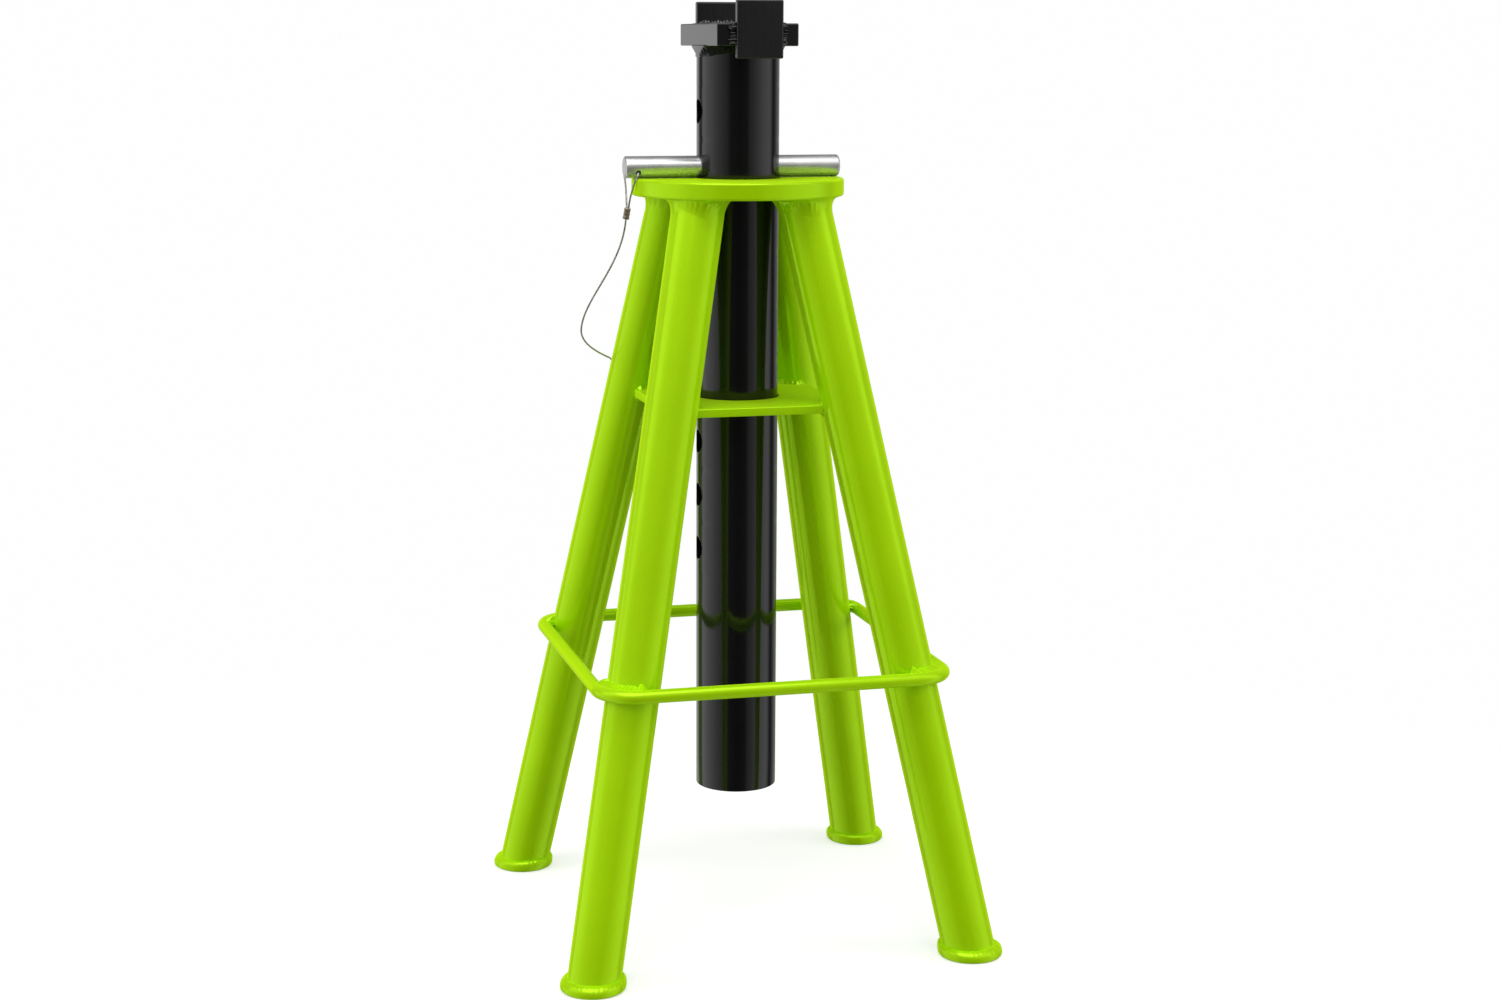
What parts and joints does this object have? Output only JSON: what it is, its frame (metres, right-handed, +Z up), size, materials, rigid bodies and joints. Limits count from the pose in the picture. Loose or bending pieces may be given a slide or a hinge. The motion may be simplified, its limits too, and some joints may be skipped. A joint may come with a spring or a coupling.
{
  "type": "axle jack stand",
  "caption": "Tall pin-type axle jack stand: splayed tube legs carry a guided, drilled lifting post with a lipped saddle, locked by a cross pin on a wire lanyard.",
  "frame": {"origin": "centre of the footprint at floor level, on the lifting post's axis", "axes": "+Z up along the post; X along the locking pin, its lanyard end at -X; -Y is the front"},
  "size_m": [0.413, 0.413, 0.8635],
  "materials": {
    "green_paint": "gloss",
    "black_paint": "gloss",
    "pin_steel": "polished",
    "wire_steel": "satin",
    "ferrule_metal": "dull"
  },
  "bodies": {
    "base": {"top_plate": "green_paint", "leg_front_left": "green_paint", "leg_front_right": "green_paint", "leg_rear_left": "green_paint", "leg_rear_right": "green_paint", "foot_pad_front_left": "green_paint", "foot_pad_front_right": "green_paint", "foot_pad_rear_left": "green_paint", "foot_pad_rear_right": "green_paint", "guide_plate": "green_paint", "lower_hoop": "green_paint", "leg_top_welds": "green_paint", "guide_plate_welds": "green_paint", "hoop_welds": "green_paint", "foot_welds": "green_paint", "lanyard_anchor_eye": "green_paint", "lanyard_cable": "wire_steel", "lanyard_anchor_ferrule": "ferrule_metal", "lanyard_anchor_loop": "wire_steel"},
    "post": {"post_tube": "black_paint", "saddle_bar": "black_paint", "saddle_lip_front": "black_paint", "saddle_lip_rear": "black_paint", "saddle_post_weld": "black_paint", "saddle_lip_welds": "black_paint"},
    "pin": {"locking_pin": "pin_steel", "lanyard_pin_loop": "wire_steel", "lanyard_pin_ferrule": "ferrule_metal"}
  },
  "joints": [
    {"name": "post_lift", "type": "slide", "parent": "base", "child": "post", "axis": [0, 0, 1], "range_m": [0, 0.3048]},
    {"name": "pin_draw", "type": "slide", "parent": "base", "child": "pin", "axis": [-1, 0, 0], "range_m": [0, 0.145], "deforming": ["lanyard_cable"]}
  ]
}
